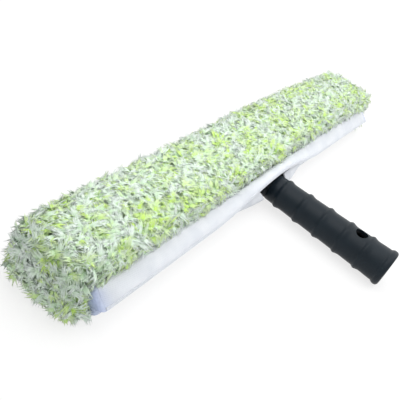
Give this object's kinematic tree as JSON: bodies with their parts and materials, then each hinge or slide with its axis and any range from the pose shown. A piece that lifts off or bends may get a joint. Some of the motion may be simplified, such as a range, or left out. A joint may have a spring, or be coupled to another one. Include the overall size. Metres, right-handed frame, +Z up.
{
  "type": "window scrubber",
  "caption": "Window washer: T-bar with a ribbed rubber handle and a removable shaggy pile sleeve wrapped round its crossbar, closed behind by two fabric flaps.",
  "frame": {"origin": "on the surface the washer lies on, below the middle of the crossbar, on the underside of the pile", "axes": "+X along the crossbar, -Y along the handle out of the pole socket's mouth, +Z up from the surface"},
  "size_m": [0.482, 0.1915, 0.0463],
  "materials": {
    "crossbar_metal": "satin extruded",
    "cap_plastic": "moulded",
    "hub_plastic": "moulded",
    "screw_steel": "zinc plated",
    "grip_rubber": "soft matte",
    "base_fabric": "woven",
    "pile_fabric": "long loose pile",
    "flap_fabric": "woven",
    "hem_fabric": "bound edge",
    "tape_fabric": "hook and loop"
  },
  "bodies": {
    "t_bar": {"crossbar": "crossbar_metal", "end_cap_left": "cap_plastic", "end_cap_right": "cap_plastic", "neck_hub": "hub_plastic", "hub_screws": "screw_steel", "handle_core": "hub_plastic", "socket_washer": "screw_steel", "socket_screw": "screw_steel", "grip": "grip_rubber"},
    "sleeve": {"sleeve_backing": "base_fabric", "end_lining_left": "base_fabric", "end_lining_right": "base_fabric", "pile": "pile_fabric", "end_pile_left": "pile_fabric", "end_pile_right": "pile_fabric"},
    "upper_flap": {"upper_flap": "flap_fabric", "upper_flap_hem": "hem_fabric", "hook_tape_left": "tape_fabric", "hook_tape_right": "tape_fabric"},
    "lower_flap": {"lower_flap": "flap_fabric", "lower_flap_hem": "hem_fabric", "loop_tape_left": "tape_fabric", "loop_tape_right": "tape_fabric"}
  },
  "joints": [
    {"name": "sleeve_slide", "type": "slide", "parent": "t_bar", "child": "sleeve", "axis": [0, 1, 0], "range_m": [0, 0.08], "deforming": ["upper_flap", "upper_flap_hem", "hook_tape_left", "hook_tape_right", "lower_flap", "lower_flap_hem", "loop_tape_left", "loop_tape_right"]},
    {"name": "upper_flap_hinge", "type": "hinge", "parent": "sleeve", "child": "upper_flap", "pos_m": [0, -0.0171, 0.0296], "axis": [-1, 0, 0], "range_deg": [0, 80], "deforming": ["upper_flap"]},
    {"name": "lower_flap_hinge", "type": "hinge", "parent": "sleeve", "child": "lower_flap", "pos_m": [0, -0.0171, 0.0061], "axis": [1, 0, 0], "range_deg": [0, 45], "deforming": ["lower_flap"]}
  ]
}
